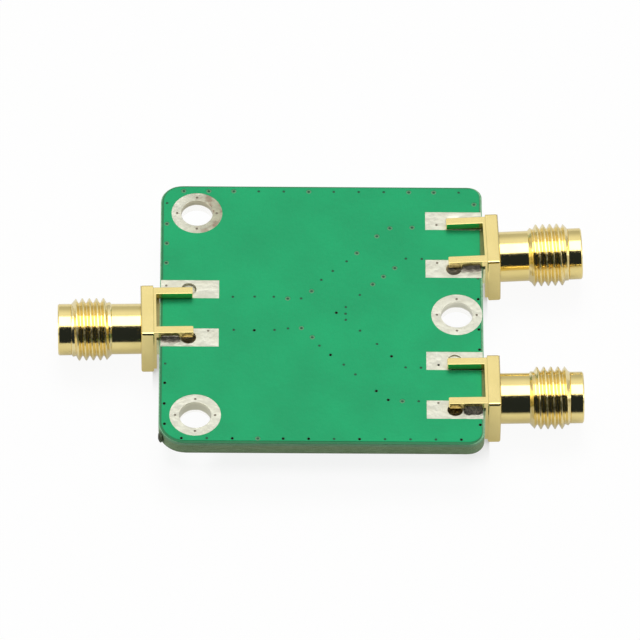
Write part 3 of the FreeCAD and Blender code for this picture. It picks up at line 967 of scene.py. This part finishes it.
def make_contact():
    # a pin behind, a socket in front, split crosswise into four fingers
    tip = CONTACT_PLANE - 0.06
    n = SOCKET_SIDES
    rings = [(-PIN_L, 0.0), (-PIN_L, PIN_R - 0.1), (0.1 - PIN_L, PIN_R), (0.0, PIN_R),
             (0.0, SOCKET_R), (tip - FINGER_L, SOCKET_R), (tip - 0.06, SOCKET_R),
             (tip, SOCKET_R - 0.06), (tip, SOCKET_BORE_R + 0.04), (tip - 0.04, SOCKET_BORE_R),
             (tip - FINGER_L, SOCKET_BORE_R), (tip - SOCKET_DEPTH, SOCKET_BORE_R),
             (tip - SOCKET_DEPTH, 0.0)]
    verts = [(x, r * cos(a), r * sin(a)) for a in around(n) for x, r in rings]
    m = len(rings)
    fingers, slits = range(5, 10), (0, n // 4 - 1)
    faces = [[i * m + j, i * m + j + 1, (i + 1) % n * m + j + 1, (i + 1) % n * m + j]
             for i in range(n) for j in range(m - 1)
             if not (j in fingers and i % (n // 4) in slits)]
    return weld(verts, faces)


def dress(node, mat):
    # gives a CAD node a material of its own
    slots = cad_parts[node].data.materials
    slots.clear()
    slots.append(mat)


block = make_block()
contact = make_contact()
for port, (side, _) in PORTS.items():
    barrel = make_barrel(COLLAR_START - SEATS[port][3], radians(AWAY[side]))
    jack_piece(port, "_jack_flange_and_legs", block, GOLD_MILLED, [port + "_jack_body"],
               bevel=FLANGE_EDGE, smooth=30, segments=4, weight=edge_share(port))
    jack_piece(port, "_jack_barrel", barrel, GOLD_TURNED, smooth=28)
    jack_piece(port, "_jack_socket", contact, GOLD_MILLED, [port + "_jack_contact"], smooth=35)
    dress(port + "_jack_insulator", PTFE)


# ---- solder ----

def bead(ends, middle, half_leg, size, face, keep, lumps):
    # solder drawn along a leg: high against it, thin at its rim, kept on the pad
    nx, ny = BEAD_STEPS
    x0, x1 = sorted(ends)
    reach, climb = size
    base, sign = (PAD_TOP, 1) if face == "ground" else (BOTTOM - PAD_TOP, -1)
    seed = dice.random() * 50
    ya, yb = middle - half_leg - reach, middle + half_leg + reach
    verts, faces = [], []
    for i in range(nx + 1):
        x = x0 + (x1 - x0) * i / nx
        end = min(i, nx - i) / nx * abs(x1 - x0)
        for j in range(ny + 1):
            y = ya + (yb - ya) * j / ny
            d = max(abs(y - middle) - half_leg, 0.0)
            wobble = (sin(3.1 * x + seed) + sin(7.3 * x + 2.1 * seed + 3 * y)
                      + 0.6 * sin(13.7 * x - seed)) / 2.6
            spread_to = reach * (0.90 + 0.10 * wobble) * min(0.75 + end, 1.0)
            side = max(1.0 - d / spread_to, 0.0)
            h = climb * (1.0 + lumps * wobble) * side ** BEAD_HOLLOW
            h *= min(end / BEAD_END, 1.0) ** 0.6
            x_in = min(max(x, keep[0]), keep[1])
            y_in = min(max(y, keep[2]), keep[3])
            verts.append((x_in, y_in, base + sign * (h - BEAD_SINK)))
    for i in range(nx):
        for j in range(ny):
            k = i * (ny + 1) + j
            f = [k, k + ny + 1, k + ny + 2, k + 1]
            faces.append(f if sign > 0 else f[::-1])
    return verts, faces


def keep_of(loop):
    # where a pad's solder may lie
    x0, x1, y0, y1 = box_of(loop)
    return x0 + BEAD_INSET, x1 - BEAD_INSET, y0 + BEAD_INSET, y1 - BEAD_INSET


for port, (side, y) in PORTS.items():
    jack_x, jack_y, _ = SEATS[port][0]
    parts, far = [], []
    for row in (-1, 1):
        leg_y = jack_y + row * LEG_MIDDLE
        keep = keep_of(pad_loop(side, y + row * PAD_OFF))
        rim = side * (HALF_W - 0.12)
        leg_end = side * (abs(jack_x) - LEG_L + 0.35)
        hole_rim = side * (LEG_HOLE_X + LEG_HOLE_R + 0.05)
        # the near leg's bead runs on to its hole's rim, the far one's stops with the leg
        kind, stop = (parts, hole_rim) if row < 0 else (far, leg_end)
        kind.append(bead((rim, stop), leg_y, LEG_HALF_W, UPPER[port, row], "ground", keep, 0.1))
        parts.append(bead((rim, leg_end), leg_y, LEG_HALF_W, LOWER, "trace", keep, 0.12))
    parts.append(bead((side * (PIN_END_X - 0.05), side * (HALF_W - PIN_L - 0.25)), jack_y,
                      PIN_HALF_W, PIN_BEAD, "trace", keep_of(pin_loop(side, y)), 0.08))
    piece(port + "_solder_beads", merged(parts), SOLDER_GRIMY if port == "front" else SOLDER,
          "solder", [port + "_jack_solder"], smooth=60)
    # the far beads are painted a dark green shade, as they lie in their legs' shadow
    piece(port + "_solder_far_shaded", merged(far), FAR_BEAD_SHADE, "solder", smooth=60)


def hole_fill(x, y, level, rough, rim=0.12):
    # a slug of solder in a leg's hole: its upper face hollow or domed and a little rough
    n, rings = 32, 6
    verts = []
    for k in range(2 * rings + 2):
        step = k if k <= rings else 2 * rings + 1 - k
        r = LEG_HOLE_R * step / rings
        for a in around(n):
            uneven = rough * (dice.random() - 0.5) * (0 < step < rings)
            z = level + rim * (step / rings) ** 3 + uneven
            if k > rings:
                z = BOTTOM + 0.2 - 0.12 * (step / rings) ** 3
            verts.append((x + r * cos(a), y + r * sin(a), z))
    return weld(verts, belts(2 * rings + 1, n))


# each hole's place, then its solder's level, unevenness and, in one, its rim's fall
for kind, mat, fills in (
        ("dull", SOLDER_DULL, [(LEG_HOLE_X, PORT_Y - PAD_OFF, -0.10, 0.05)]),
        ("flush", TINNED, [(LEG_HOLE_X, PORT_Y + PAD_OFF, -0.07, 0.01),
                           (LEG_HOLE_X, PAD_OFF - PORT_Y, -0.30, 0.02),
                           (-LEG_HOLE_X, PAD_OFF, 0.03, 0.01, -0.35)]),
        ("dark", SOLDER_DARK, [(-LEG_HOLE_X, -PAD_OFF, -0.45, 0.01),
                               (LEG_HOLE_X, -PORT_Y - PAD_OFF, -0.60, 0.01)])):
    piece("hole_solder_" + kind, merged([hole_fill(*fill) for fill in fills]), mat, "solder",
          smooth=60)

# a film between each web and the board's edge, from one leg to the other, painted with the shade
# seen down the gap and on the board's rim by the web, and a pool of solder under each of its
# ends; by port, the film's painted shade, how far it runs past the gap, and its top
for port, mat, past, top in (("input", GAP_SHADE_PALE, 0.02, -0.01), ("rear", GAP_SHADE_GREEN, 0.2, 0.012),
                             ("front", GAP_SHADE_GREEN, 0.2, 0.012)):
    jack_x, _, jack_z = SEATS[port][0]
    gap = abs(jack_x) - HALF_W
    # the film is a sheet of painted shade for the dark gap and the board's rim shaded by the web
    film = plate([rect(-gap - past, FILM_IN, -LEG_OUT, LEG_OUT)], [],
                 -jack_z - FILM_LOW, -jack_z + top)
    jack_piece(port, "_gap_shade_film", film, mat, bevel=0.01)
    pools = [plate([rect(-gap - POOL_PAST, FILM_IN, s * LEG_IN, s * (LEG_OUT + POOL_PAST))], [],
                   LEG_LOW + POOL_PAST, -jack_z - POOL_HIGH) for s in (-1, 1)]
    jack_piece(port, "_gap_solder", merged(pools), SOLDER_KHAKI, bevel=0.02)


# ---- frame pieces ----

def copy_of(node, mat, slot, bevel):
    # a CAD node's own shape with rounded edges, in metres
    mesh = bmesh.new()
    mesh.from_mesh(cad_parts[node].data)
    bmesh.ops.remove_doubles(mesh, verts=mesh.verts, dist=1e-7)
    shape = [tuple(v.co) for v in mesh.verts], [[v.index for v in f.verts] for f in mesh.faces]
    mesh.free()
    return piece(node + "_finished", shape, mat, slot, [node], Matrix.Identity(4), bevel=bevel,
                 smooth=35)


copy_of("resistor_cores", CERAMIC, "alumina", 0.00001)
copy_of("resistor_overcoats", COAT, "resistor_overcoat", 0.000008)
copy_of("resistor_end_caps", CAP, "tin_end_cap", 0.000012)
copy_of("resistor_solder", SOLDER, "solder", 0.00003)
dress("pin_pad_tin", TINNED)
for node in ("input_line", "rear_output_line", "front_output_line", "star_point_copper"):
    dress(node, COPPER)


# ---- studio ----

def make_floor():
    # a white table: plain where it is lit, and shining white where camera or mirrors look at it
    mat = bpy.data.materials.new("floor")
    tree = blank_tree(mat)
    rays = add(tree, "LightPath")
    place = add(tree, "TexCoord").outputs["Object"]
    grain = noise(tree, place, 40.0, 3.0)
    tint = blend(tree, grain, (0.87, 0.86, 0.85), (0.91, 0.90, 0.89))
    # mirrors see the bright table too, but the dark room beyond its front edge
    by_glossy = rays.outputs["Is Glossy Ray"]
    axes = add(tree, "SeparateXYZ", {0: place})
    table = spread(tree, axes.outputs[1], *TABLE_END)
    room = calc(tree, "MULTIPLY", by_glossy, calc(tree, "SUBTRACT", 1.0, table))
    tint = blend(tree, by_glossy, tint, (0.66, 0.66, 0.65))
    tint = blend(tree, room, tint, DARK_ROOM)
    dull = add(tree, "BsdfDiffuse", {"Color": tint})
    white = add(tree, "Emission", {"Color": (1, 1, 1, 1), "Strength": 1.0})
    # the narrow gaps between board and flanges stay darker than the open background
    occlusion = add(tree, "AmbientOcclusion", {"Distance": SHADE_REACH}, samples=8)
    shaded = spread(tree, occlusion.outputs["AO"], 0.45, 0.85, GAP_WHITE, OPEN_WHITE)
    aside = calc(tree, "GREATER_THAN", calc(tree, "ABSOLUTE", axes.outputs[0]), ASIDE_X)
    by_eye = calc(tree, "MAXIMUM", shaded, calc(tree, "MULTIPLY", aside, OPEN_WHITE))
    by_mirror = GAP_WHITE

    def patch(x, y, behind, reach):
        middle = ((x + SHIFT.x) * MM, (y + behind) * MM, 0.0)
        return spread(tree, distance(tree, place, middle), (reach + PATCH_SOFT) * MM,
                      (reach - PATCH_SOFT) * MM, 0.0, PATCH_WHITE)

    # the patches seen through the screw holes are open background too; under the holes, mirrors
    # see painted pools of light, as if light fell through them
    for x, y in MOUNTS.values():
        by_eye = calc(tree, "MAXIMUM", by_eye, patch(x, y, *SEEN_PATCH))
        # a painted pool of light on the floor under each hole, seen only by mirrors
        by_mirror = calc(tree, "MAXIMUM", by_mirror, patch(x, y, *LIGHT_POOL_PATCH))
    by_mirror = calc(tree, "MULTIPLY", calc(tree, "MULTIPLY", by_mirror, table), by_glossy)
    by_eye = calc(tree, "MULTIPLY", by_eye, rays.outputs["Is Camera Ray"])
    share = calc(tree, "ADD", by_eye, by_mirror)
    mix = add(tree, "MixShader", {0: share, 1: dull.outputs[0], 2: white.outputs[0]})
    add(tree, "OutputMaterial", {"Surface": mix.outputs[0]})
    mesh = bpy.data.meshes.new("floor")
    mesh.from_pydata([(-3, -3, 0), (3, -3, 0), (3, 3, 0), (-3, 3, 0)], [], [[0, 1, 2, 3]])
    mesh.materials.append(mat)
    put("floor", mesh, Matrix.Identity(4))


def make_world():
    # a white tent: a bright box overhead, a pale wall behind, dark only at its opening in front
    world = bpy.data.worlds.new("studio")
    bpy.context.scene.world = world
    tree = blank_tree(world)
    rays = add(tree, "LightPath")
    axes = add(tree, "SeparateXYZ", {0: add(tree, "TexCoord").outputs["Generated"]})
    front = calc(tree, "MULTIPLY", axes.outputs[1], -1.0)
    turn = calc(tree, "ARCTAN2", axes.outputs[2], front)
    share = calc(tree, "DIVIDE", calc(tree, "ADD", turn, pi), TAU)
    ramp = add(tree, "ValToRGB", {0: share})
    for _ in TENT[2:]:
        ramp.color_ramp.elements.new(0.5)
    for e, (at, level) in zip(ramp.color_ramp.elements, TENT):
        e.position = at
        e.color = (*((level,) * 3 if level > TENT_DARK else DARK_ROOM), 1.0)
    # the opening is no wider than the table: pale walls stand on both sides of it
    beside = spread(tree, calc(tree, "ABSOLUTE", axes.outputs[0]), *OPENING_SIDES)
    dim = calc(tree, "LESS_THAN", ramp.outputs[0], 0.5)
    tent = blend(tree, calc(tree, "MULTIPLY", beside, dim), ramp.outputs[0], (SIDE_WALLS,) * 3)
    # the box overhead is far brighter than white where it shines back from metal
    box = calc(tree, "MULTIPLY", calc(tree, "GREATER_THAN", ramp.outputs[0], TENT_BOX),
               rays.outputs["Is Glossy Ray"])
    tent = blend(tree, box, tent, (BOX_SHINE,) * 3)
    soft = spread(tree, rays.outputs["Is Diffuse Ray"], 0.0, 1.0, 1.0, SOFT_LIGHT)
    level = blend(tree, rays.outputs["Is Camera Ray"], tent, (1.0, 1.0, 1.0))
    light = add(tree, "Background", {"Color": level, "Strength": soft})
    add(tree, "OutputWorld", {"Surface": light.outputs[0]})


def make_lamp():
    # the main soft light, from above and behind: it throws the legs' shadows forward
    data = bpy.data.lights.new("back_light", "SUN")
    data.energy = SUN_ENERGY
    data.angle = radians(SUN_WIDTH)
    rise = radians(SUN_ELEVATION)
    toward = Vector((0.0, cos(rise), sin(rise)))
    lamp = put("back_light", data, toward.to_track_quat("Z", "Y").to_matrix().to_4x4())
    lamp.visible_glossy = False


def make_camera():
    # the photo's own camera: far off, with a long lens, a little turned and rolled
    e, a, r = (radians(v) for v in (CAM_ELEVATION, CAM_YAW, CAM_ROLL))
    back = Vector((sin(a) * cos(e), -cos(a) * cos(e), sin(e)))
    right = Vector((cos(a), sin(a), 0.0))
    up = back.cross(right)
    x_axis = right * cos(r) + up * sin(r)
    y_axis = up * cos(r) - right * sin(r)
    place = (x_axis * -CAM_SHIFT[0] + y_axis * -CAM_SHIFT[1] + back * CAM_DISTANCE
             + Vector(PHOTO_ORIGIN)) * MM
    data = bpy.data.cameras.new("camera")
    data.sensor_width = SENSOR
    data.lens = CAM_F_PIXELS * SENSOR / PHOTO_PIXELS
    data.clip_start = 0.01
    data.clip_end = 20.0
    turn = Matrix((x_axis, y_axis, back)).transposed().to_4x4()
    bpy.context.scene.camera = put("camera", data, Matrix.Translation(place) @ turn)


make_floor()
make_world()
make_lamp()
make_camera()
bpy.context.scene.view_settings.view_transform = "Standard"
